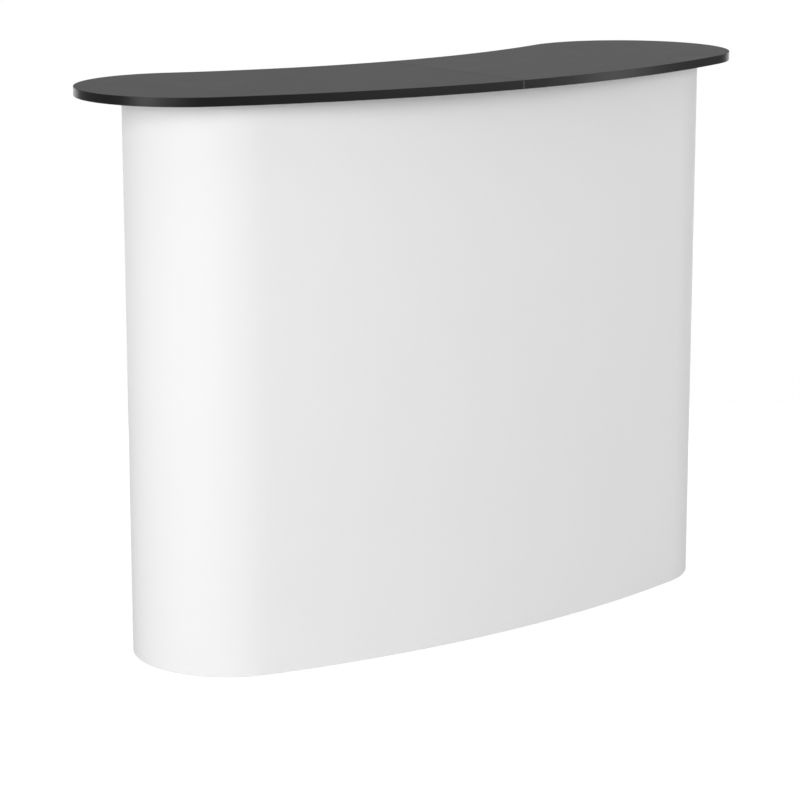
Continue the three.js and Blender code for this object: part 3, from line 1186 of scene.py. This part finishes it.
def pin_ends(x, row, z):
    """Where the two heads of a pin sit, one on each outer face of the scissor bars."""
    return [Matrix.Translation((x, row_y[row] - pin_end, z)) @ facing_front,
            Matrix.Translation((x, row_y[row] + pin_end, z)) @ facing_back]


for column in columns:
    for kind, body in (("hub", f"{column}_column"), ("slider", f"{column}_sliders")):
        pin_z = hub_z if kind == "hub" else slider_z
        heads = []
        for row in rows:
            for lug_side in lug_sides[column]:
                heads += pin_ends(column_x[column] + lug_side * pin_reach, row, pin_z)
        fasten(body, f"{column}_{kind}_rivets", rivet, heads)

for wing in wings:
    crossing = pivot[f"{wing}_crossing_pivot"]
    heads = [pin_ends(crossing.x, "front", crossing.z)[0], pin_ends(crossing.x, "rear", crossing.z)[1]]
    fasten(f"{wing}_outward_bars", f"{wing}_rod_caps", rivet, heads)
print("sets of rivets:", 2 * len(columns) + len(wings))

# %% Screws in the hubs
screw_spread = 0.012

for column in columns:
    places = []
    for row, inward in (("front", 1), ("rear", -1)):
        low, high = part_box(f"{column}_{row}_hub")
        face_y = (high.y if inward > 0 else low.y) - inward * panel_sink
        turn = facing_back if inward > 0 else facing_front
        for step in (-1, 1):
            height = (low.z + high.z) / 2 + step * screw_spread
            places.append(Matrix.Translation((column_x[column], face_y, height)) @ turn)
    fasten(f"{column}_column", f"{column}_hub_screws", screw, places)
bpy.data.objects.remove(rivet)
bpy.data.objects.remove(screw)
print("hubs with screws:", len(columns) * len(rows))

# %% [markdown]
# ## Strips and shelf
# The wrap clings to five upright strips that reach out from the posts on short arms. The three in front
# stand behind its front, and the two at the back are wider and reach round behind its lips. So the sheet
# lies before every strip, and each has a magnet tape down the stretch of its front that meets the sheet.
# The shelf is a board like the countertop's, with softened edges, lying on the three shelf rails.

# %% Wrap strips
strip_thickness = 0.004
strip_arm_height = 0.024
strip_arm_width = 0.020
tape_width = 0.018
tape_thickness = 0.0003
tape_margin = 0.006
tape_arris = tape_thickness / 3
strip_arris = 0.0008
arm_offset = 0.068


def wrap_strip(node, column, face_y, tape_x):
    """A strip whose face is at one depth, with its tape centred at one place along the bar."""
    low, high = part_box(node)
    x = column_x[column]
    plate = block((low.x, face_y, low.z), (high.x, face_y + strip_thickness, high.z))
    arm_start = face_y + strip_thickness / 2
    arm_end = low.y if low.y < face_y else high.y
    for z in (hub_z + arm_offset, slider_z - arm_offset):
        weld(plate, block((x - strip_arm_width / 2, min(arm_start, arm_end), z - strip_arm_height / 2),
                          (x + strip_arm_width / 2, max(arm_start, arm_end), z + strip_arm_height / 2)))
    round_edges(plate, strip_arris, steps=2, sharper_than=60)
    paint(plate, strip_plastic)
    magnet = block((tape_x - tape_width / 2, face_y - tape_thickness, low.z + tape_margin),
                   (tape_x + tape_width / 2, face_y, high.z - tape_margin))
    round_edges(magnet, tape_arris, steps=1)
    paint(magnet, tape)
    stand_for(node, joined([plate, magnet]))


for column in columns:
    node = f"{column}_front_strip"
    wrap_strip(node, column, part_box(node)[0].y, column_x[column])
for wing, wing_side in wings.items():
    node = f"{wing}_rear_strip"
    low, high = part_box(node)
    strip_end_x = max(abs(low.x), abs(high.x))
    wrap_strip(node, wing, high.y - strip_thickness, wing_side * (lip_x + strip_end_x) / 2)
print("wrap strips:", len(columns) + len(wings))

# %% Shelf
shelf_corner = 0.004
shelf_corner_steps = 4

shelf = block(*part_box("shelf"))
bpy.ops.object.mode_set(mode="EDIT")
round_uprights(shelf_corner, shelf_corner_steps)
all_outward()
round_edges(shelf, board_arris, board_arris_steps, sharper_than=60)
paint(shelf, shelf_film)
stand_for("shelf", shelf)
print("shelf:", [round(size, 3) for size in shelf.dimensions])
